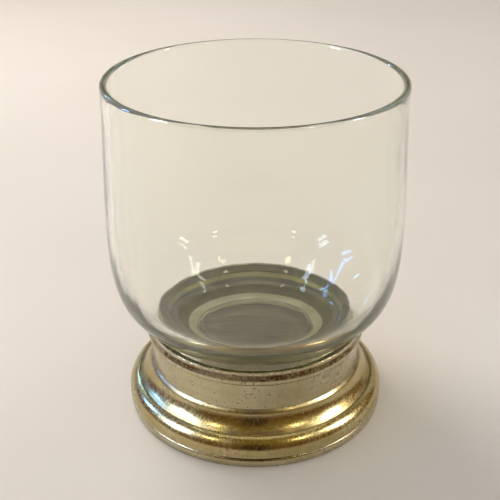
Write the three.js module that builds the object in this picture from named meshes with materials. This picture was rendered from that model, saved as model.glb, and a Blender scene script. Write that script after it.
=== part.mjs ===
// Shot glass: a clear tumbler bedded in a hollow cast pewter foot.
// Millimetres, +Z up, origin at the centre of the ring that the foot stands on.
import * as THREE from "three";

// Glass bowl
const RIM_RADIUS = 25; // outside, at the mouth
const BELLY_RADIUS = 25.72; // outside, where the wall is widest
const GLASS_TOP = 60.9;
const BELLY_HEIGHT = 36;
const RIM_WALL = 1.2;
const BELLY_WALL = 1.4;
const NECK_WALL = 2.2; // where the bowl leaves the lip
const BASE_THICKNESS = 3.4; // glass under the floor of the bowl
const FLOOR_RADIUS = 12; // flat middle of the bowl's floor
const HEEL_RADIUS = 13; // flat that the bowl is bedded on
const HEEL_RECESS_RADIUS = 10.8;
const HEEL_RECESS_DEPTH = 0.6;
const NECK_ANGLE = 35.5; // degrees from vertical, where the bowl leaves the lip

// Pewter foot
const COLLAR_RADIUS = 19;
const COLLAR_BOTTOM = 8.75;
const COLLAR_TOP = 13.7;
const COLLAR_GROOVE_WIDTH = 0.25;
const COLLAR_GROOVE_DEPTH = 0.15;
const COLLAR_STEP = 0.5; // small ledge where the mouldings start
const LIP_TOP = 16.4;
const LIP_OVERHANG = 0.8; // how far the lip stands out from the collar
const LIP_CROWN = 0.55; // width of the lip's top, inside its widest line
const LIP_CURL = 0.3; // how gently the lip rounds at its widest line
const LIP_SWELL = 0.3; // share of the lip's height at which it is widest
const LIP_LEAN = 0.7; // share of the crown's width taken up by the lip leaning in
const FLANGE_OVERHANG = 4.6; // how far the flange stands out from the collar
const SHOULDER_WIDTH = 2.55; // rounding from the flange's rim in to the step
const SHOULDER_HEIGHT = 2.7;
const COVE_BOTTOM = 5.7;
const STEP_HEIGHT = 0.35;
const BEAD_INSET = 0.1; // bottom bead, inside the flange's rim
const BEAD_HEIGHT = 1.6;
const GROOVE_WIDTH = 0.35;
const GROOVE_DEPTH = 0.4;
const RING_WIDTH = 1.4; // flat ring that the foot stands on
const SOCKET_FLOOR = 10;
const FLOOR_THICKNESS = 1.7;
const FOOT_WALL = 1.7;
const HOLLOW_CHAMFER = 1; // inside corner of the hollow, under the socket

// Fit
const CEMENT_THICKNESS = 0.5;
const CEMENT_RISE = 1.8; // how far the cement climbs the glass above the heel
const CEMENT_INSET = 0.4; // bare strip of the heel, next to its recess
const FIT_GAP = 0.3;

// Fullness of the curves, as a share of what each one spans
const WALL_FULLNESS = 0.78;
const NECK_FULLNESS = 0.3;
const TUCK_FULLNESS = 0.7;
const COVE_LEAN = 0.2; // both ends of the cove: along its width at the collar, and its height at the step
const COVE_SWEEP = 0.4; // along its width, from the step
const COVE_DROP = 0.5; // along its height, from the collar

const TURN_SEGMENTS = 48;
const SEAT_STEPS = 8;
const BOWL_STEPS = 10;
const WALL_STEPS = 5;

const HEEL_HEIGHT = SOCKET_FLOOR + CEMENT_THICKNESS + 2 * FIT_GAP;
const CEMENT_TOP = HEEL_HEIGHT + CEMENT_RISE;
const BOWL_FLOOR = HEEL_HEIGHT + BASE_THICKNESS;
const CROWN_RADIUS = COLLAR_RADIUS + LIP_OVERHANG - LIP_CROWN;
const NECK_RADIUS = CROWN_RADIUS - FIT_GAP;
const FLANGE_RADIUS = COLLAR_RADIUS + FLANGE_OVERHANG;
const FLANGE_BOTTOM = BEAD_HEIGHT + GROOVE_WIDTH;
const STEP_RADIUS = FLANGE_RADIUS - SHOULDER_WIDTH;
const GROOVE_RADIUS = FLANGE_RADIUS - BEAD_INSET - GROOVE_DEPTH;

// A point of a profile: distance from the axis, and height.
function at(radius, height) {
  return new THREE.Vector2(radius, height);
}

function bend(start, first, second, end, steps) {
  return new THREE.CubicBezierCurve(start, first, second, end).getPoints(steps);
}

// Part of an ellipse between two angles in degrees, 0 pointing away from the axis.
function round(centre, across, up, fromAngle, toAngle, steps) {
  const from = THREE.MathUtils.degToRad(fromAngle);
  const to = THREE.MathUtils.degToRad(toAngle);
  return new THREE.EllipseCurve(centre.x, centre.y, across, up, from, to).getPoints(steps);
}

// Moves a profile sideways, to the right of its direction of travel.
function shifted(points, distance) {
  return points.map((point, index) => {
    const before = points[Math.max(index - 1, 0)];
    const after = points[Math.min(index + 1, points.length - 1)];
    const along = after.clone().sub(before).normalize();
    return at(point.x + along.y * distance, point.y - along.x * distance);
  });
}

// Point where a rising profile passes a height.
function crossing(points, height) {
  const index = points.findIndex((point) => point.y > height);
  const below = points[index - 1];
  const above = points[index];
  return below.clone().lerp(above, (height - below.y) / (above.y - below.y));
}

function partBelow(points, height) {
  return [...points.filter((point) => point.y < height), crossing(points, height)];
}

// Turns a profile around +Z.
function turned(profile) {
  const points = profile.filter((point, index) => {
    return index === 0 || point.distanceTo(profile[index - 1]) > 0.01;
  });
  return new THREE.LatheGeometry(points, TURN_SEGMENTS).rotateX(Math.PI / 2);
}

function named(name, geometry, color, roughness, metalness) {
  const material = new THREE.MeshStandardMaterial({ color, roughness, metalness });
  const mesh = new THREE.Mesh(geometry, material);
  mesh.name = name;
  return mesh;
}

// From one point, a step up and out along the slope that the bowl has at the lip.
function alongNeck(point, rise) {
  const angle = THREE.MathUtils.degToRad(NECK_ANGLE);
  return at(point.x + rise * Math.tan(angle), point.y + rise);
}

// Outside of the glass from the edge of its heel up to the lip.
function seatedSurface() {
  const neck = at(NECK_RADIUS, LIP_TOP);
  const tuck = alongNeck(neck, (HEEL_HEIGHT - LIP_TOP) * TUCK_FULLNESS);
  return new THREE.QuadraticBezierCurve(at(HEEL_RADIUS, HEEL_HEIGHT), tuck, neck).getPoints(SEAT_STEPS);
}

// Wall of the bowl from a point beside the lip up to the belly.
function lowerWall(neck, bellyRadius) {
  const span = BELLY_HEIGHT - neck.y;
  const belly = at(bellyRadius, BELLY_HEIGHT);
  const steep = at(bellyRadius, BELLY_HEIGHT - span * WALL_FULLNESS);
  return bend(neck, alongNeck(neck, span * NECK_FULLNESS), steep, belly, BOWL_STEPS);
}

// And from the belly up to the start of the rim's rounding.
function upperWall(bellyRadius, rimRadius) {
  const top = GLASS_TOP - RIM_WALL / 2;
  const reach = (top - BELLY_HEIGHT) / 3;
  const belly = at(bellyRadius, BELLY_HEIGHT);
  const swell = at(bellyRadius, BELLY_HEIGHT + reach);
  return bend(belly, swell, at(rimRadius, top - reach), at(rimRadius, top), WALL_STEPS);
}

function glassBowl() {
  const neckAngle = THREE.MathUtils.degToRad(NECK_ANGLE);
  const neck = at(NECK_RADIUS, LIP_TOP);
  const innerNeck = at(neck.x - NECK_WALL * Math.cos(neckAngle), neck.y + NECK_WALL * Math.sin(neckAngle));
  const dip = alongNeck(innerNeck, (BOWL_FLOOR - innerNeck.y) * TUCK_FULLNESS);
  const floorEdge = at(FLOOR_RADIUS, BOWL_FLOOR);
  const floorBend = at((FLOOR_RADIUS + innerNeck.x) / 2, BOWL_FLOOR);
  const rim = at(RIM_RADIUS - RIM_WALL / 2, GLASS_TOP - RIM_WALL / 2);
  const innerBelly = BELLY_RADIUS - BELLY_WALL;
  return turned([
    at(0, HEEL_HEIGHT + HEEL_RECESS_DEPTH),
    at(HEEL_RECESS_RADIUS - HEEL_RECESS_DEPTH, HEEL_HEIGHT + HEEL_RECESS_DEPTH),
    at(HEEL_RECESS_RADIUS, HEEL_HEIGHT),
    ...seatedSurface(),
    ...lowerWall(neck, BELLY_RADIUS),
    ...upperWall(BELLY_RADIUS, RIM_RADIUS),
    ...round(rim, RIM_WALL / 2, RIM_WALL / 2, 0, 180, 6),
    ...upperWall(innerBelly, RIM_RADIUS - RIM_WALL).toReversed(),
    ...lowerWall(innerNeck, innerBelly).toReversed(),
    ...bend(innerNeck, dip, floorBend, floorEdge, SEAT_STEPS),
    at(0, BOWL_FLOOR),
  ]);
}

// Wall of the socket: round the cement, straight up past it, then close to the glass as far as the lip.
function socketWall() {
  const room = CEMENT_THICKNESS + 2 * FIT_GAP;
  const bedded = partBelow(shifted(seatedSurface(), room), CEMENT_TOP + FIT_GAP);
  const widest = bedded.at(-1).x;
  const close = shifted(seatedSurface(), FIT_GAP).filter((point) => point.x > widest);
  return [at(bedded[0].x, SOCKET_FLOOR), ...bedded, ...close, at(CROWN_RADIUS, LIP_TOP)];
}

function lipOutside() {
  const start = at(COLLAR_RADIUS, COLLAR_TOP + COLLAR_GROOVE_WIDTH);
  const widest = at(COLLAR_RADIUS + LIP_OVERHANG, start.y + (LIP_TOP - start.y) * LIP_SWELL);
  const crown = at(widest.x - LIP_CROWN * LIP_LEAN, LIP_TOP);
  return [
    ...bend(start, at(widest.x, start.y), at(widest.x, widest.y - LIP_CURL), widest, 5),
    ...bend(widest, at(widest.x, widest.y + LIP_CURL), at(crown.x, LIP_TOP - LIP_CURL), crown, 4),
  ];
}

// Bottom bead, groove, flange, step, cove and ledge, from the standing ring up to the collar.
function mouldings() {
  const ledge = at(COLLAR_RADIUS + COLLAR_STEP, COLLAR_BOTTOM - COLLAR_STEP);
  const coveEnd = at(STEP_RADIUS, COVE_BOTTOM);
  const coveWidth = coveEnd.x - ledge.x;
  const coveFall = ledge.y - coveEnd.y;
  const shoulder = at(STEP_RADIUS, COVE_BOTTOM - STEP_HEIGHT - SHOULDER_HEIGHT);
  return [
    ...round(at(GROOVE_RADIUS, BEAD_HEIGHT / 2), GROOVE_DEPTH, BEAD_HEIGHT / 2, -90, 90, 6),
    at(GROOVE_RADIUS, FLANGE_BOTTOM - GROOVE_WIDTH / 4),
    at(FLANGE_RADIUS, FLANGE_BOTTOM),
    ...round(shoulder, SHOULDER_WIDTH, SHOULDER_HEIGHT, 0, 80, 7),
    coveEnd,
    ...bend(coveEnd, at(coveEnd.x - coveWidth * COVE_SWEEP, coveEnd.y + coveFall * COVE_LEAN),
      at(ledge.x + coveWidth * COVE_LEAN, ledge.y - coveFall * COVE_DROP), ledge, 6),
    at(COLLAR_RADIUS + COLLAR_STEP / 2, COLLAR_BOTTOM - COLLAR_STEP / 3),
    at(COLLAR_RADIUS, COLLAR_BOTTOM),
  ];
}

function pewterFoot() {
  const ringInside = GROOVE_RADIUS - RING_WIDTH;
  const ceiling = SOCKET_FLOOR - FLOOR_THICKNESS;
  const recess = COLLAR_RADIUS - FOOT_WALL;
  return turned([
    at(0, ceiling),
    at(recess - HOLLOW_CHAMFER, ceiling),
    at(recess, ceiling - HOLLOW_CHAMFER),
    at(STEP_RADIUS - FOOT_WALL, COVE_BOTTOM - FOOT_WALL),
    at(ringInside, FLANGE_BOTTOM),
    at(ringInside, 0),
    ...mouldings(),
    at(COLLAR_RADIUS, COLLAR_TOP),
    at(COLLAR_RADIUS - COLLAR_GROOVE_DEPTH, COLLAR_TOP + COLLAR_GROOVE_WIDTH / 2),
    ...lipOutside(),
    ...socketWall().toReversed(),
    at(0, SOCKET_FLOOR),
  ]);
}

function bondCement() {
  const edge = HEEL_RECESS_RADIUS + CEMENT_INSET;
  const bottom = SOCKET_FLOOR + FIT_GAP;
  const top = HEEL_HEIGHT - FIT_GAP;
  const outside = partBelow(shifted(seatedSurface(), FIT_GAP + CEMENT_THICKNESS), CEMENT_TOP);
  const inside = partBelow(shifted(seatedSurface(), FIT_GAP), CEMENT_TOP);
  return turned([
    at(edge, bottom),
    at(outside[0].x, bottom),
    ...outside,
    ...inside.toReversed(),
    at(inside[0].x, top),
    at(edge, top),
    at(edge, bottom),
  ]);
}

const shotGlass = new THREE.Group();
shotGlass.add(
  named("glass_bowl", glassBowl(), 0xe8ebe0, 0.04, 0),
  named("pewter_foot", pewterFoot(), 0xa89b78, 0.28, 1),
  named("bond_cement", bondCement(), 0x6b5c34, 0.85, 0),
);

export default shotGlass;
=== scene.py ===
# Shot glass: a clear tumbler bedded in a hollow cast pewter foot, on a pale floor in soft light.
import math

import bpy
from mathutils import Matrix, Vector, noise


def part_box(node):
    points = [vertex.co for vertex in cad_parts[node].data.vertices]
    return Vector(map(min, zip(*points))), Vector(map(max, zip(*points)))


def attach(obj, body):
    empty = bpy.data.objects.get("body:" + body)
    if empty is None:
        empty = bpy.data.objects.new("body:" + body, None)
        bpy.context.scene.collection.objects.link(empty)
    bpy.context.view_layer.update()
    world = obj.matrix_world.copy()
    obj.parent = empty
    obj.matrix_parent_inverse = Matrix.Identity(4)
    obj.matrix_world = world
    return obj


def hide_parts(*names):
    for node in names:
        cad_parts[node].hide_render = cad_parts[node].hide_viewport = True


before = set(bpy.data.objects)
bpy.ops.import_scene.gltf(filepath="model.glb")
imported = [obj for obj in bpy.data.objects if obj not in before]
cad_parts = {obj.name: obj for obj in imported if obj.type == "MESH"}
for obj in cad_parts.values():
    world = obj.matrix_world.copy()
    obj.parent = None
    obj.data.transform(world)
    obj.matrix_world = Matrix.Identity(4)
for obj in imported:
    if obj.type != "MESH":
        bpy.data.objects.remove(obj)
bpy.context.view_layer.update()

# ---------------------------------------------------------------- camera

RIM_RADIUS = 0.025
CAMERA_PITCH = math.radians(27.3)
CAMERA_DISTANCE = 6.388 * RIM_RADIUS
CAMERA_AIM_HEIGHT = 1.175 * RIM_RADIUS
CAMERA_LENS_MM = 64.8
CAMERA_SHIFT_X = -0.0105


def add_camera():
    data = bpy.data.cameras.new("camera")
    data.lens = CAMERA_LENS_MM
    data.sensor_width = 36.0
    data.shift_x = CAMERA_SHIFT_X
    data.clip_start = 0.005
    camera = bpy.data.objects.new("camera", data)
    bpy.context.scene.collection.objects.link(camera)
    back = CAMERA_DISTANCE * math.cos(CAMERA_PITCH)
    up = CAMERA_DISTANCE * math.sin(CAMERA_PITCH)
    camera.location = (0.0, -back, CAMERA_AIM_HEIGHT + up)
    camera.rotation_euler = (math.pi / 2 - CAMERA_PITCH, 0.0, 0.0)
    bpy.context.scene.camera = camera


add_camera()

# ---------------------------------------------------------------- sizes, in millimetres, as in the CAD

MM = 0.001


def in_mm(vector):
    return Vector(vector) / MM


GLASS_LOW, GLASS_HIGH = (in_mm(corner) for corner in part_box("glass_bowl"))
FOOT_HIGH = in_mm(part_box("pewter_foot")[1])
CEMENT_LOW, CEMENT_HIGH = (in_mm(corner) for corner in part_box("bond_cement"))

GLASS_TOP = GLASS_HIGH.z
BELLY_RADIUS = GLASS_HIGH.x
BELLY_HEIGHT = 36.0
RIM_WALL = 1.2
BELLY_WALL = 1.4
NECK_WALL = 2.2
BASE_THICKNESS = 3.4
FLOOR_RADIUS = 12.0
HEEL_HEIGHT = GLASS_LOW.z
HEEL_RADIUS = 13.0
HEEL_RECESS_RADIUS = 10.8
HEEL_RECESS_DEPTH = 0.6
NECK_ANGLE = math.radians(35.5)

LIP_TOP = FOOT_HIGH.z
FLANGE_RADIUS = FOOT_HIGH.x
COLLAR_RADIUS = 19.0
COLLAR_BOTTOM = 8.75
COLLAR_TOP = 13.7
COLLAR_GROOVE_WIDTH = 0.25
COLLAR_GROOVE_DEPTH = 0.15
COLLAR_STEP = 0.5
LIP_OVERHANG = 0.8
LIP_CROWN = 0.55
LIP_CURL = 0.3
LIP_SWELL = 0.3
LIP_LEAN = 0.7
SHOULDER_WIDTH = 2.55
SHOULDER_HEIGHT = 2.7
COVE_BOTTOM = 5.7
STEP_HEIGHT = 0.35
STEP_RADIUS = FLANGE_RADIUS - SHOULDER_WIDTH
BEAD_INSET = 0.1
BEAD_HEIGHT = 1.6
GROOVE_WIDTH = 0.35
GROOVE_DEPTH = 0.4
GROOVE_RADIUS = FLANGE_RADIUS - BEAD_INSET - GROOVE_DEPTH
FLANGE_BOTTOM = BEAD_HEIGHT + GROOVE_WIDTH
RING_WIDTH = 1.4
FIT_GAP = 0.3
CEMENT_THICKNESS = 0.5
CEMENT_INSET = 0.4
SOCKET_FLOOR = CEMENT_LOW.z - FIT_GAP
FLOOR_THICKNESS = 1.7
FOOT_WALL = 1.7
HOLLOW_CHAMFER = 1.0
CROWN_RADIUS = COLLAR_RADIUS + LIP_OVERHANG - LIP_CROWN
NECK_RADIUS = CROWN_RADIUS - FIT_GAP

# fullness of the curves, as a share of what each one spans
WALL_FULLNESS = 0.78
NECK_FULLNESS = 0.3
TUCK_FULLNESS = 0.7
COVE_LEAN = 0.2
COVE_SWEEP = 0.4
COVE_DROP = 0.5

# the drawn surfaces meet where the CAD leaves its gap
CONTACT = 0.02  # the bedding sinks this far into the glass, and stops this short of the metal
GLASS_TO_METAL = CEMENT_THICKNESS + 2 * FIT_GAP  # across the bedding
BEAD_DEPTH = 1.3  # from the crown of the lip down

# ---------------------------------------------------------------- profiles: lists of (radius, height)


def bend(start, first, second, end, steps):
    points = []
    for step in range(steps + 1):
        t = step / steps
        a, b, c, d = (1 - t) ** 3, 3 * (1 - t) ** 2 * t, 3 * (1 - t) * t * t, t**3
        points.append(
            (
                a * start[0] + b * first[0] + c * second[0] + d * end[0],
                a * start[1] + b * first[1] + c * second[1] + d * end[1],
            )
        )
    return points


def arc(centre, across, up, from_angle, to_angle, steps):
    points = []
    for step in range(steps + 1):
        angle = math.radians(from_angle + (to_angle - from_angle) * step / steps)
        points.append((centre[0] + across * math.cos(angle), centre[1] + up * math.sin(angle)))
    return points


def shifted(points, distance):
    """Moves a profile sideways by a distance, outwards where it climbs."""
    moved = []
    for index, (radius, height) in enumerate(points):
        before = points[max(index - 1, 0)]
        after = points[min(index + 1, len(points) - 1)]
        along = Vector((after[0] - before[0], after[1] - before[1])).normalized()
        moved.append((radius + along.y * distance, height - along.x * distance))
    return moved


SHARP_TURN = math.radians(20)


def softened(points, fillet):
    """Rounds the sharp corners of a profile."""
    result = [points[0]]
    for before, corner, after in zip(points, points[1:], points[2:]):
        corner_v = Vector(corner)
        back = Vector(before) - corner_v
        ahead = Vector(after) - corner_v
        if back.length < 1e-6 or ahead.length < 1e-6:
            continue
        turn = math.pi - back.angle(ahead)
        if turn < SHARP_TURN:
            result.append(corner)
            continue
        reach = min(fillet * math.tan(turn / 2), back.length * 0.45, ahead.length * 0.45)
        start = corner_v + back.normalized() * reach
        end = corner_v + ahead.normalized() * reach
        for t in (0.0, 0.25, 0.5, 0.75, 1.0):
            point = (1 - t) ** 2 * start + 2 * (1 - t) * t * corner_v + t * t * end
            result.append((point.x, point.y))
    result.append(points[-1])
    return result


def divided(points, longest):
    """Adds points so that no stretch of a profile is longer than the given length."""
    result = [points[0]]
    for start, end in zip(points, points[1:]):
        length = math.dist(start, end)
        if length < 1e-4:
            continue
        count = max(1, math.ceil(length / longest))
        for step in range(1, count + 1):
            t = step / count
            result.append((start[0] + (end[0] - start[0]) * t, start[1] + (end[1] - start[1]) * t))
    return result


def between(start, end, share):
    return tuple(a + (b - a) * share for a, b in zip(start, end))


def along_neck(point, rise):
    return (point[0] + rise * math.tan(NECK_ANGLE), point[1] + rise)


def seated_surface(steps=20):
    """Outside of the glass from its heel to the crown of the lip."""
    neck = (NECK_RADIUS, LIP_TOP)
    heel = (HEEL_RADIUS, HEEL_HEIGHT)
    tuck = along_neck(neck, (HEEL_HEIGHT - LIP_TOP) * TUCK_FULLNESS)
    return bend(heel, between(heel, tuck, 2 / 3), between(neck, tuck, 2 / 3), neck, steps)


def lower_wall(neck, belly_radius, steps=40):
    span = BELLY_HEIGHT - neck[1]
    steep = (belly_radius, BELLY_HEIGHT - span * WALL_FULLNESS)
    return bend(neck, along_neck(neck, span * NECK_FULLNESS), steep, (belly_radius, BELLY_HEIGHT), steps)


def upper_wall(belly_radius, rim_radius, steps=16):
    top = GLASS_TOP - RIM_WALL / 2
    reach = (top - BELLY_HEIGHT) / 3
    return bend(
        (belly_radius, BELLY_HEIGHT),
        (belly_radius, BELLY_HEIGHT + reach),
        (rim_radius, top - reach),
        (rim_radius, top),
        steps,
    )


# corner roundings, and the longest stretch of a profile between two rings of the mesh
HEEL_FILLET = 0.5
FOOT_FILLET = 0.14
CEMENT_FILLET = 0.3
FOOT_MESH = 0.5
CEMENT_MESH = 0.3
BEAD_MESH = 0.2


def glass_profile():
    rim_radius = RIM_RADIUS / MM
    neck = (NECK_RADIUS, LIP_TOP)
    inner_neck = (
        neck[0] - NECK_WALL * math.cos(NECK_ANGLE),
        neck[1] + NECK_WALL * math.sin(NECK_ANGLE),
    )
    floor = HEEL_HEIGHT + BASE_THICKNESS
    dip = along_neck(inner_neck, (floor - inner_neck[1]) * TUCK_FULLNESS)
    floor_bend = ((FLOOR_RADIUS + inner_neck[0]) / 2, floor)
    inner_belly = BELLY_RADIUS - BELLY_WALL
    rim = (rim_radius - RIM_WALL / 2, GLASS_TOP - RIM_WALL / 2)
    recess = HEEL_HEIGHT + HEEL_RECESS_DEPTH
    base = softened(
        [
            (0.0, recess),
            (HEEL_RECESS_RADIUS - HEEL_RECESS_DEPTH, recess),
            (HEEL_RECESS_RADIUS, HEEL_HEIGHT),
            (HEEL_RADIUS, HEEL_HEIGHT),
            *seated_surface()[1:],
        ],
        HEEL_FILLET,
    )
    return [
        *base,
        *lower_wall(neck, BELLY_RADIUS)[1:],
        *upper_wall(BELLY_RADIUS, rim_radius)[1:],
        *arc(rim, RIM_WALL / 2, RIM_WALL / 2, 0, 180, 20)[1:],
        *upper_wall(inner_belly, rim_radius - RIM_WALL)[-2::-1],
        *lower_wall(inner_neck, inner_belly)[-2::-1],
        *bend(inner_neck, dip, floor_bend, (FLOOR_RADIUS, floor), 20)[1:],
        (0.0, floor),
    ]


def lip_outside():
    start = (COLLAR_RADIUS, COLLAR_TOP + COLLAR_GROOVE_WIDTH)
    widest = (COLLAR_RADIUS + LIP_OVERHANG, start[1] + (LIP_TOP - start[1]) * LIP_SWELL)
    crown = (widest[0] - LIP_CROWN * LIP_LEAN, LIP_TOP)
    lower = bend(start, (widest[0], start[1]), (widest[0], widest[1] - LIP_CURL), widest, 10)
    upper = bend(widest, (widest[0], widest[1] + LIP_CURL), (crown[0], LIP_TOP - LIP_CURL), crown, 8)
    return lower + upper[1:]


GROOVE_FLARE = 0.09  # the bottom groove opens by this much at its mouth


def mouldings():
    ledge = (COLLAR_RADIUS + COLLAR_STEP, COLLAR_BOTTOM - COLLAR_STEP)
    cove_end = (STEP_RADIUS, COVE_BOTTOM)
    width = cove_end[0] - ledge[0]
    fall = ledge[1] - cove_end[1]
    shoulder = (STEP_RADIUS, COVE_BOTTOM - STEP_HEIGHT - SHOULDER_HEIGHT)
    return [
        *arc((GROOVE_RADIUS, BEAD_HEIGHT / 2), GROOVE_DEPTH, BEAD_HEIGHT / 2, -90, 90, 16),
        (GROOVE_RADIUS, FLANGE_BOTTOM - GROOVE_FLARE),
        (FLANGE_RADIUS, FLANGE_BOTTOM),
        *arc(shoulder, SHOULDER_WIDTH, SHOULDER_HEIGHT, 0, 80, 24),
        cove_end,
        *bend(
            cove_end,
            (cove_end[0] - width * COVE_SWEEP, cove_end[1] + fall * COVE_LEAN),
            (ledge[0] + width * COVE_LEAN, ledge[1] - fall * COVE_DROP),
            ledge,
            20,
        )[1:],
        (COLLAR_RADIUS + COLLAR_STEP / 2, COLLAR_BOTTOM - COLLAR_STEP / 3),
        (COLLAR_RADIUS, COLLAR_BOTTOM),
    ]


def socket_wall():
    ledge = CEMENT_HIGH.z + FIT_GAP
    bedded = [p for p in shifted(seated_surface(), GLASS_TO_METAL) if p[1] < ledge]
    widest = bedded[-1][0]
    close = [p for p in shifted(seated_surface(), FIT_GAP) if p[0] > widest]
    return [(bedded[0][0], SOCKET_FLOOR), *bedded, *close, (CROWN_RADIUS, LIP_TOP)]


def foot_profile():
    ring_inside = GROOVE_RADIUS - RING_WIDTH
    ceiling = SOCKET_FLOOR - FLOOR_THICKNESS
    recess = COLLAR_RADIUS - FOOT_WALL
    outline = [
        (0.0, ceiling),
        (recess - HOLLOW_CHAMFER, ceiling),
        (recess, ceiling - HOLLOW_CHAMFER),
        (STEP_RADIUS - FOOT_WALL, COVE_BOTTOM - FOOT_WALL),
        (ring_inside, FLANGE_BOTTOM),
        (ring_inside, 0.0),
        *mouldings(),
        (COLLAR_RADIUS, COLLAR_TOP),
        (COLLAR_RADIUS - COLLAR_GROOVE_DEPTH, COLLAR_TOP + COLLAR_GROOVE_WIDTH / 2),
        *lip_outside(),
        *socket_wall()[::-1],
        (0.0, SOCKET_FLOOR),
    ]
    return divided(softened(outline, FOOT_FILLET), FOOT_MESH)


def cement_profile():
    """Bedding that fills the socket from wall to wall, with a crowned top edge."""
    metal_side = shifted(seated_surface(40), GLASS_TO_METAL - CONTACT)
    outside = [p for p in metal_side if p[1] < CEMENT_HIGH.z + 0.2]
    inside = [p for p in shifted(seated_surface(40), -CONTACT) if p[1] < CEMENT_HIGH.z]
    edge = HEEL_RECESS_RADIUS + CEMENT_INSET
    rounding = 0.15
    bottom = SOCKET_FLOOR + CONTACT
    top = HEEL_HEIGHT + CONTACT
    crest = ((outside[-1][0] + inside[-1][0]) / 2, CEMENT_HIGH.z + 0.25)
    outline = [
        (edge, (bottom + top) / 2),
        (edge + rounding, bottom),
        (outside[0][0], bottom),
        *outside,
        crest,
        *inside[::-1],
        (inside[0][0], top),
        (edge + rounding, top),
        (edge, (bottom + top) / 2),
    ]
    return divided(softened(outline, CEMENT_FILLET), CEMENT_MESH)


def bead_profile():
    """Thin line of cement squeezed up between the glass and the crown of the lip."""
    low = LIP_TOP - BEAD_DEPTH
    glass_line = shifted(seated_surface(60), -CONTACT)
    metal_line = shifted(seated_surface(60), FIT_GAP + 2 * CONTACT)
    glass_side = [p for p in glass_line if low < p[1] < LIP_TOP - 0.05]
    metal_side = [p for p in metal_line if low - 0.2 < p[1] < LIP_TOP - 0.2]
    outline = [glass_side[0], *metal_side, *glass_side[::-1]]
    return divided(outline, BEAD_MESH)


# ---------------------------------------------------------------- meshes


def lathe(name, profile, segments, moved=None):
    """Turns a profile in millimetres around +Z into one mesh; moved() may nudge each point."""
    closed = math.dist(profile[0], profile[-1]) < 1e-6
    points = profile[:-1] if closed else profile
    vertices = []
    rings = []
    for radius, height in points:
        if radius < 1e-6:
            rings.append([len(vertices)] * segments)
            vertices.append((0.0, 0.0, height * MM))
            continue
        ring = []
        for segment in range(segments):
            angle = 2 * math.pi * segment / segments
            r, z = moved(radius, angle, height) if moved else (radius, height)
            ring.append(len(vertices))
            vertices.append((r * math.cos(angle) * MM, r * math.sin(angle) * MM, z * MM))
        rings.append(ring)
    faces = []
    pairs = list(zip(rings, rings[1:]))
    if closed:
        pairs.append((rings[-1], rings[0]))
    for low, high in pairs:
        for segment in range(segments):
            after = (segment + 1) % segments
            corners = [low[segment], low[after], high[after], high[segment]]
            face = list(dict.fromkeys(corners))
            if len(face) > 2:
                faces.append(face)
    mesh = bpy.data.meshes.new(name)
    mesh.from_pydata(vertices, [], faces)
    mesh.shade_smooth()
    mesh.update()
    piece = bpy.data.objects.new(name, mesh)
    bpy.context.scene.collection.objects.link(piece)
    return piece


def smooth_step(value, low, high):
    t = min(max((value - low) / (high - low), 0.0), 1.0)
    return t * t * (3 - 2 * t)


def ripple(radius, angle, height, scale):
    """Smooth noise between about -1 and 1 at a place on the surface."""
    place = Vector((radius * math.cos(angle), radius * math.sin(angle), height))
    return noise.noise(place * scale)


# unevenness of the casting: pairs of a depth in millimetres and ripples per millimetre
FINISH_RIPPLES = ((0.02, 0.25), (0.008, 1.2))
LIP_RIPPLES = ((0.05, 1.6), (0.035, 3.6))
FINISH_SUNK = 0.02  # pulls the surface back, so that little of it stands proud of the drawn one
LIP_SUNK = 0.06
NOTCH_DEPTH = 0.9
NOTCH_SCALE = 2.3
NOTCH_THRESHOLD = 0.42
WEAR_DEPTH = 0.03
WEAR_SCALE = 1.1
# notches and wear are read from one level slice of the noise each, so they run straight down
NOTCH_SLICE = 40.0
WEAR_SLICE = 7.0


def cast_surface(radius, angle, height):
    """Slight hand-finished unevenness, coarser and rougher on the lip; the standing ring stays flat."""
    show = smooth_step(height, 0.0, 0.6) * smooth_step(radius, 18.5, 18.9)
    lip = smooth_step(height, 14.6, 15.6) * smooth_step(radius, 18.9, 19.3)
    edge = smooth_step(height, LIP_TOP - 0.6, LIP_TOP - 0.1)
    finish = sum(depth * ripple(radius, angle, height, scale) for depth, scale in FINISH_RIPPLES)
    grit = sum(depth * ripple(radius, angle, height, scale) for depth, scale in LIP_RIPPLES)
    notch = max(ripple(radius, angle, NOTCH_SLICE, NOTCH_SCALE) - NOTCH_THRESHOLD, 0.0) * NOTCH_DEPTH
    worn_down = lip * WEAR_DEPTH * (1 + ripple(radius, angle, WEAR_SLICE, WEAR_SCALE))
    nudge = show * (finish - FINISH_SUNK) + lip * (grit - LIP_SUNK)
    return radius + nudge, height - edge * lip * notch - worn_down


# ---------------------------------------------------------------- materials
# noise scales are per metre; ramps are lists of (place, colour)


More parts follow.
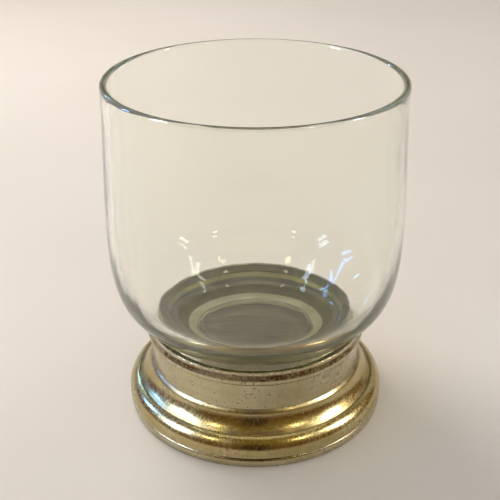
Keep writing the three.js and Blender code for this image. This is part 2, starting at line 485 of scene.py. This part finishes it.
class Nodes:
    """Short calls for building one material's node tree."""

    def __init__(self, name):
        self.material = bpy.data.materials.new(name)
        self.material.use_nodes = True
        self.tree = self.material.node_tree
        self.tree.nodes.clear()

    def add(self, kind, inputs=None, **settings):
        node = self.tree.nodes.new(kind)
        for key, value in settings.items():
            setattr(node, key, value)
        for key, value in (inputs or {}).items():
            socket = node.inputs[key]
            if isinstance(value, bpy.types.NodeSocket):
                self.tree.links.new(value, socket)
            else:
                socket.default_value = value
        return node

    def ramp(self, value, stops):
        node = self.add("ShaderNodeValToRGB", {"Fac": value})
        elements = node.color_ramp.elements
        while len(elements) < len(stops):
            elements.new(0.5)
        for element, (position, color) in zip(elements, stops):
            element.position = position
            element.color = (*color, 1.0)
        return node.outputs["Color"]

    def range(self, value, low, high, to_low=0.0, to_high=1.0):
        inputs = {"Value": value, "From Min": low, "From Max": high, "To Min": to_low, "To Max": to_high}
        return self.add("ShaderNodeMapRange", inputs).outputs["Result"]

    def smooth(self, value, low, high):
        """Smoothly from 0 below the low value to 1 above the high one."""
        inputs = {"Value": value, "From Min": low, "From Max": high}
        return self.add("ShaderNodeMapRange", inputs, interpolation_type="SMOOTHSTEP").outputs["Result"]

    def noise(self, place, scale, detail):
        inputs = {"Vector": place, "Scale": scale, "Detail": detail}
        return self.add("ShaderNodeTexNoise", inputs).outputs["Fac"]

    def stretched_noise(self, place, scales, detail=3.0):
        """Noise whose grain is drawn out along the axes with a small scale."""
        stretched = self.add("ShaderNodeMapping", {"Vector": place, "Scale": scales})
        return self.noise(stretched.outputs["Vector"], 1.0, detail)

    def math(self, operation, first, second=0.0):
        return self.add("ShaderNodeMath", {0: first, 1: second}, operation=operation).outputs[0]

    def plus(self, first, second):
        return self.math("ADD", first, second)

    def minus(self, first, second):
        return self.math("SUBTRACT", first, second)

    def times(self, first, second):
        return self.math("MULTIPLY", first, second)

    def inverse(self, mask):
        return self.minus(1.0, mask)

    def mix(self, factor, first, second):
        node = self.add("ShaderNodeMix", data_type="RGBA")
        sockets = (node.inputs[0], node.inputs[6], node.inputs[7])
        for socket, value in zip(sockets, (factor, first, second)):
            if isinstance(value, bpy.types.NodeSocket):
                self.tree.links.new(value, socket)
            elif socket.type == "VALUE":
                socket.default_value = value
            else:
                socket.default_value = (*value, 1.0)
        return node.outputs[2]


def beyond(n, value, low, high):
    """Smoothly from 0 to 1 between two places in millimetres."""
    return n.smooth(value, low * MM, high * MM)


def band(n, value, low, high, soft):
    """1 between two places in millimetres, fading out over a soft edge."""
    rise = beyond(n, value, low - soft, low + soft)
    fall = beyond(n, value, high - soft, high + soft)
    return n.minus(rise, fall)


def height_and_radius(n, place):
    parts = n.add("ShaderNodeSeparateXYZ", {"Vector": place}).outputs
    square = n.plus(n.times(parts["X"], parts["X"]), n.times(parts["Y"], parts["Y"]))
    return parts["Z"], n.math("SQRT", square)


def glass_material():
    n = Nodes("clear_glass")
    place = n.add("ShaderNodeTexCoord").outputs["Object"]
    wave = n.stretched_noise(place, (130.0, 130.0, 28.0), 2.0)
    smear = n.noise(place, 260.0, 4.0)
    bump = n.add("ShaderNodeBump", {"Height": wave, "Strength": 0.5, "Distance": 0.0002})
    shader = n.add(
        "ShaderNodeBsdfPrincipled",
        {
            "Base Color": (0.995, 1.0, 0.965, 1.0),
            "Roughness": n.range(smear, 0.45, 0.75, 0.0, 0.012),
            "IOR": 1.46,
            "Transmission Weight": 0.98,
            "Normal": bump.outputs["Normal"],
        },
    )
    tint = {"Color": (0.70, 0.76, 0.42, 1.0), "Density": 13.0}
    volume = n.add("ShaderNodeVolumeAbsorption", tint)
    n.add("ShaderNodeOutputMaterial", {"Surface": shader.outputs[0], "Volume": volume.outputs[0]})
    return n.material


BARE = [(0.32, (0.49, 0.43, 0.25)), (0.5, (0.56, 0.50, 0.32)), (0.68, (0.63, 0.58, 0.42))]
TURNED = (0.36, 0.31, 0.18)
# golden brown for the mouldings: partly tarnish, partly a painted reflection of the warm brown room
GOLDEN_TARNISH_AND_REFLECTION = [(0.3, (0.40, 0.30, 0.09)), (0.7, (0.56, 0.47, 0.23))]
TARNISH = [(0.35, (0.06, 0.034, 0.008)), (0.65, (0.15, 0.09, 0.025))]
PIT = (0.035, 0.022, 0.01)
# painted shade: the socket wall and floor under the glass are painted darker than the bare metal, the
# wall a dark olive
SHADED_SOCKET_WALL = [(0.3, (0.13, 0.105, 0.012)), (0.7, (0.23, 0.195, 0.04))]
SHADED_SOCKET_FLOOR = [(0.3, (0.26, 0.235, 0.19)), (0.7, (0.42, 0.39, 0.33))]
HOLLOW = [(0.3, (0.22, 0.20, 0.16)), (0.7, (0.33, 0.31, 0.26))]
# heights in millimetres: (from, to, soft edge)
GROOVE_BANDS = ((1.45, 2.0, 0.12), (5.2, 5.75, 0.15), (8.1, 8.85, 0.15), (13.65, 14.0, 0.08))
LIP_BAND = (14.95, 15.85, 0.14)
MOULDING_BAND = (2.3, 8.5, 0.3)
# the hollow ends at a cone that leans in as it climbs
HOLLOW_REACH = 22.0
HOLLOW_SLANT = 0.85


def pewter_tarnish(n, place, height, cloud, fine, grit):
    """Brown tarnish: in the grooves, in a gritty line on the lip, and in faint blotches."""
    grooves = 0.0
    for low, high, soft in GROOVE_BANDS:
        grooves = n.plus(grooves, band(n, height, low, high, soft))
    patchy = n.smooth(cloud, 0.38, 0.62)
    grooves = n.times(grooves, n.range(patchy, 0.0, 1.0, 0.25, 0.8))
    gritty = n.range(n.smooth(grit, 0.45, 0.7), 0.0, 1.0, 1.0, 0.4)
    worn = n.range(n.noise(place, 120.0, 2.0), 0.35, 0.6, 0.45, 1.0)
    lip = n.times(n.times(band(n, height, *LIP_BAND), gritty), worn)
    blotches = n.smooth(n.times(cloud, fine), 0.30, 0.36)
    return lip, n.math("MAXIMUM", grooves, n.math("MAXIMUM", lip, n.times(blotches, 0.35)))


def pewter_pits(n, place, height):
    """Casting pits in clusters, smaller on the mouldings."""
    cells = n.add("ShaderNodeTexVoronoi", {"Vector": place, "Scale": 1500.0, "Randomness": 1.0})
    reach = n.range(n.noise(place, 330.0, 2.0), 0.58, 0.80, 0.0, 0.34)
    reach = n.times(reach, n.range(height, 0.0075, 0.009, 0.55, 1.0))
    return n.smooth(n.minus(reach, cells.outputs["Distance"]), 0.0, 0.08)


def pewter_regions(n, height, radius):
    """Masks for the socket seen through the glass, for its floor, and for the hollow below; the socket
    and its floor get painted shade.
    """
    within = n.inverse(beyond(n, radius, COLLAR_RADIUS - 0.2, COLLAR_RADIUS))
    socket = n.times(within, beyond(n, height, SOCKET_FLOOR - 0.2, SOCKET_FLOOR - 0.1))
    above_floor = beyond(n, height, SOCKET_FLOOR + 0.1, SOCKET_FLOOR + 0.3)
    floor = n.times(socket, n.inverse(above_floor))
    over_ring = n.math("MAXIMUM", n.minus(height, FLANGE_BOTTOM * MM), 0.0)
    slanted_radius = n.plus(radius, n.times(over_ring, HOLLOW_SLANT))
    outer = beyond(n, slanted_radius, HOLLOW_REACH - 0.1, HOLLOW_REACH + 0.1)
    hollow = n.times(n.inverse(outer), n.inverse(socket))
    return socket, floor, hollow


def pewter_material():
    n = Nodes("cast_pewter")
    place = n.add("ShaderNodeTexCoord").outputs["Object"]
    height, radius = height_and_radius(n, place)
    cloud = n.noise(place, 190.0, 6.0)
    fine = n.noise(place, 1500.0, 3.0)
    grit = n.noise(place, 2600.0, 4.0)
    crinkle = n.noise(place, 620.0, 3.0)
    turning = n.stretched_noise(place, (50.0, 50.0, 5200.0))
    drag = n.stretched_noise(place, (2600.0, 2600.0, 160.0))
    streaks = n.stretched_noise(place, (90.0, 1500.0, 10.0))
    lip, tarnish = pewter_tarnish(n, place, height, cloud, fine, grit)
    pits = pewter_pits(n, place, height)
    socket, floor, hollow = pewter_regions(n, height, radius)

    color = n.mix(n.range(turning, 0.4, 0.75, 0.0, 0.35), n.ramp(cloud, BARE), TURNED)
    # the moulding band is tinted golden brown: partly tarnish, partly a painted reflection of the warm
    # room
    golden_tarnish_and_reflection = n.times(band(n, height, *MOULDING_BAND), 0.7)
    color = n.mix(golden_tarnish_and_reflection, color, n.ramp(cloud, GOLDEN_TARNISH_AND_REFLECTION))
    color = n.mix(tarnish, color, n.ramp(fine, TARNISH))
    color = n.mix(pits, color, PIT)
    # painted shade: the socket wall under the glass goes dark olive, and its floor a duller streaky grey
    color = n.mix(socket, color, n.ramp(cloud, SHADED_SOCKET_WALL))
    color = n.mix(floor, color, n.ramp(streaks, SHADED_SOCKET_FLOOR))
    color = n.mix(hollow, color, n.ramp(cloud, HOLLOW))

    roughness = n.range(drag, 0.35, 0.7, 0.19, 0.30)
    for mask, share in ((tarnish, 0.22), (pits, 0.4), (socket, 0.12), (hollow, 0.25)):
        roughness = n.plus(roughness, n.times(mask, share))

    relief = n.times(turning, 0.35)
    gritty_lip = n.times(lip, grit)
    crinkled_socket = n.times(socket, crinkle)
    heights = ((drag, 0.2), (cloud, 1.2), (pits, -3.0), (gritty_lip, 3.5), (crinkled_socket, 6.0))
    for texture, share in heights:
        relief = n.plus(relief, n.times(texture, share))
    bump = n.add("ShaderNodeBump", {"Height": relief, "Strength": 0.6, "Distance": 0.00003})
    shader = n.add(
        "ShaderNodeBsdfPrincipled",
        {
            "Base Color": color,
            "Roughness": roughness,
            "Metallic": 1.0,
            "Normal": bump.outputs["Normal"],
        },
    )
    n.add("ShaderNodeOutputMaterial", {"Surface": shader.outputs[0]})
    return n.material


PALE_CEMENT = [(0.35, (0.56, 0.51, 0.29)), (0.65, (0.72, 0.67, 0.42))]
# painted shade: a dark olive copy of the pale cement, for where it climbs between glass and metal
SHADED_OLIVE_CEMENT = [(0.3, (0.07, 0.058, 0.004)), (0.7, (0.16, 0.135, 0.015))]
BROWN_CEMENT = [(0.35, (0.04, 0.028, 0.008)), (0.6, (0.13, 0.10, 0.028)), (0.75, (0.33, 0.29, 0.13))]


def cement_material():
    """Pale under the heel, painted dark olive shade where it climbs the glass, and brown at the lip."""
    n = Nodes("bond_cement")
    place = n.add("ShaderNodeTexCoord").outputs["Object"]
    height = n.add("ShaderNodeSeparateXYZ", {"Vector": place}).outputs["Z"]
    grit = n.noise(place, 2300.0, 4.0)
    cloud = n.noise(place, 260.0, 4.0)
    crinkle = n.noise(place, 700.0, 3.0)
    climb = beyond(n, height, 11.05, 11.3)
    at_lip = beyond(n, height, 15.9, 16.1)
    # painted shade: the cement that climbs between glass and metal is painted a dark olive copy of the
    # pale cement
    color = n.mix(climb, n.ramp(cloud, PALE_CEMENT), n.ramp(cloud, SHADED_OLIVE_CEMENT))
    color = n.mix(at_lip, color, n.ramp(grit, BROWN_CEMENT))
    relief = n.plus(n.times(crinkle, 4.0), grit)
    bump = n.add("ShaderNodeBump", {"Height": relief, "Strength": 0.7, "Distance": 0.00004})
    shader = n.add(
        "ShaderNodeBsdfPrincipled",
        {
            "Base Color": color,
            "Roughness": n.range(grit, 0.3, 0.7, 0.3, 0.6),
            "Normal": bump.outputs["Normal"],
            "Specular IOR Level": 0.1,
        },
    )
    n.add("ShaderNodeOutputMaterial", {"Surface": shader.outputs[0]})
    return n.material


# ---------------------------------------------------------------- the object

# flat faces round one full turn
GLASS_FACES = 256
FOOT_FACES = 340

glass = lathe("glass_tumbler", glass_profile(), GLASS_FACES)
glass.data.materials.append(glass_material())
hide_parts("glass_bowl")
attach(glass, "root")

foot = lathe("pewter_casting", foot_profile(), FOOT_FACES, cast_surface)
foot.data.materials.append(pewter_material())
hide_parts("pewter_foot")
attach(foot, "root")

cement = lathe("cement_bedding", cement_profile(), GLASS_FACES)
cement.data.materials.append(cement_material())
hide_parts("bond_cement")
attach(cement, "root")

bead = lathe("cement_bead", bead_profile(), GLASS_FACES)
bead.data.materials.append(cement.data.materials[0])
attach(bead, "root")

# ---------------------------------------------------------------- stage and light


PAPER = [(0.3, (0.76, 0.71, 0.64)), (0.7, (0.79, 0.745, 0.68))]
ROOM_COLOR = (1.0, 0.965, 0.94, 1.0)
ROOM_STRENGTH = 0.61


def stage_material():
    n = Nodes("pale_paper")
    place = n.add("ShaderNodeTexCoord").outputs["Object"]
    color = n.ramp(n.noise(place, 12.0, 3.0), PAPER)
    shader = n.add("ShaderNodeBsdfPrincipled", {"Base Color": color, "Roughness": 0.75})
    n.add("ShaderNodeOutputMaterial", {"Surface": shader.outputs[0]})
    return n.material


def add_stage():
    """A pale floor that curves up into a round wall."""
    floor_radius = 420.0
    wall_radius = 700.0
    wall_top = 320.0
    faces_round, faces_up = 96, 24
    curve = wall_radius - floor_radius
    profile = [(0.0, 0.0), (floor_radius, 0.0)]
    profile += arc((floor_radius, curve), curve, curve, -90, 0, faces_up)[1:]
    profile.append((wall_radius, wall_top))
    stage = lathe("floor_and_wall", profile, faces_round)
    stage.data.materials.append(stage_material())


def direction(azimuth, elevation):
    """Azimuth 0 is towards the camera, and 90 is towards +X; elevation is above the floor."""
    a, e = math.radians(azimuth), math.radians(elevation)
    return Vector((math.sin(a) * math.cos(e), -math.cos(a) * math.cos(e), math.sin(e)))


LIGHT_AIM = Vector((0.0, 0.0, 0.02))
LIGHT_DISTANCE = 0.45


def add_softbox(name, azimuth, elevation, size, power, color, on_floor=False):
    """Window or lamp seen in gloss and glass, or with on_floor a soft light for the floor alone."""
    data = bpy.data.lights.new(name, "AREA")
    data.shape = "RECTANGLE"
    data.size, data.size_y = size
    data.energy = power
    data.color = color
    light = bpy.data.objects.new(name, data)
    light.location = LIGHT_AIM + direction(azimuth, elevation) * LIGHT_DISTANCE
    light.rotation_euler = direction(azimuth, elevation).to_track_quat("Z", "Y").to_euler()
    light.visible_camera = False
    light.visible_diffuse = on_floor
    light.visible_glossy = not on_floor
    light.visible_transmission = not on_floor
    bpy.context.scene.collection.objects.link(light)


def card_material(name, color):
    n = Nodes(name)
    shader = n.add("ShaderNodeEmission", {"Color": (*color, 1.0), "Strength": 1.0})
    n.add("ShaderNodeOutputMaterial", {"Surface": shader.outputs[0]})
    return n.material


def add_card(name, azimuths, elevations, distance, color, reflected=True, through_glass=False):
    """A curved card round the object, which only lights or darkens what gloss and glass show."""
    columns, rows = 24, 8
    vertices = []
    for row in range(rows + 1):
        elevation = elevations[0] + (elevations[1] - elevations[0]) * row / rows
        for column in range(columns + 1):
            azimuth = azimuths[0] + (azimuths[1] - azimuths[0]) * column / columns
            vertices.append(LIGHT_AIM + direction(azimuth, elevation) * distance)
    width = columns + 1
    faces = []
    for row in range(rows):
        for column in range(columns):
            corner = row * width + column
            faces.append((corner, corner + 1, corner + 1 + width, corner + width))
    mesh = bpy.data.meshes.new(name)
    mesh.from_pydata(vertices, [], faces)
    card = bpy.data.objects.new(name, mesh)
    card.data.materials.append(card_material(name, color))
    card.visible_camera = False
    card.visible_diffuse = False
    card.visible_glossy = reflected
    card.visible_transmission = through_glass
    card.visible_shadow = False
    bpy.context.scene.collection.objects.link(card)


def add_world():
    world = bpy.data.worlds.new("room")
    bpy.context.scene.world = world
    world.use_nodes = True
    background = world.node_tree.nodes["Background"]
    background.inputs["Color"].default_value = ROOM_COLOR
    background.inputs["Strength"].default_value = ROOM_STRENGTH


add_stage()
add_world()
# cards: azimuths, elevations, distance, colour; softboxes: azimuth, elevation, size, watts, colour
add_card("room_flag", (-125, 125), (-9, 17), 0.50, (0.17, 0.072, 0.006))
add_card("camera_flag", (-13, 13), (-9, 38), 0.48, (0.045, 0.018, 0.002))
add_card("ceiling_flag", (-125, 125), (17, 88), 0.51, (0.22, 0.14, 0.012))
add_card("back_flag", (140, 220), (20, 65), 0.49, (0.13, 0.095, 0.03), through_glass=True)
add_softbox("left_window", -76, 34, (0.035, 0.12), 2.4, (0.56, 0.69, 1.0))
add_card("ceiling", (-180, 180), (50, 89), 0.52, (1.35, 1.25, 0.92), reflected=False, through_glass=True)
add_softbox("left_sky", -108, 27, (0.02, 0.10), 0.6, (0.12, 0.34, 1.0))
add_softbox("back_sky", -138, 24, (0.02, 0.07), 0.2, (0.2, 0.5, 1.0))
add_softbox("right_window", 82, 34, (0.03, 0.12), 1.6, (1.0, 0.97, 0.95))
add_softbox("left_lamp", -46, 45, (0.03, 0.03), 0.14, (1.0, 0.88, 0.60))
add_softbox("right_lamp", 46, 45, (0.03, 0.03), 0.14, (1.0, 0.88, 0.60))
add_softbox("key", -140, 45, (0.25, 0.25), 1.1, (1.0, 0.94, 0.90), on_floor=True)

bpy.context.scene.view_settings.view_transform = "Standard"
# light is reflected many times inside the glass wall before it comes out
WALL_BOUNCES = 64
bpy.context.scene.cycles.max_bounces = WALL_BOUNCES
bpy.context.scene.cycles.glossy_bounces = WALL_BOUNCES
bpy.context.scene.cycles.transmission_bounces = WALL_BOUNCES
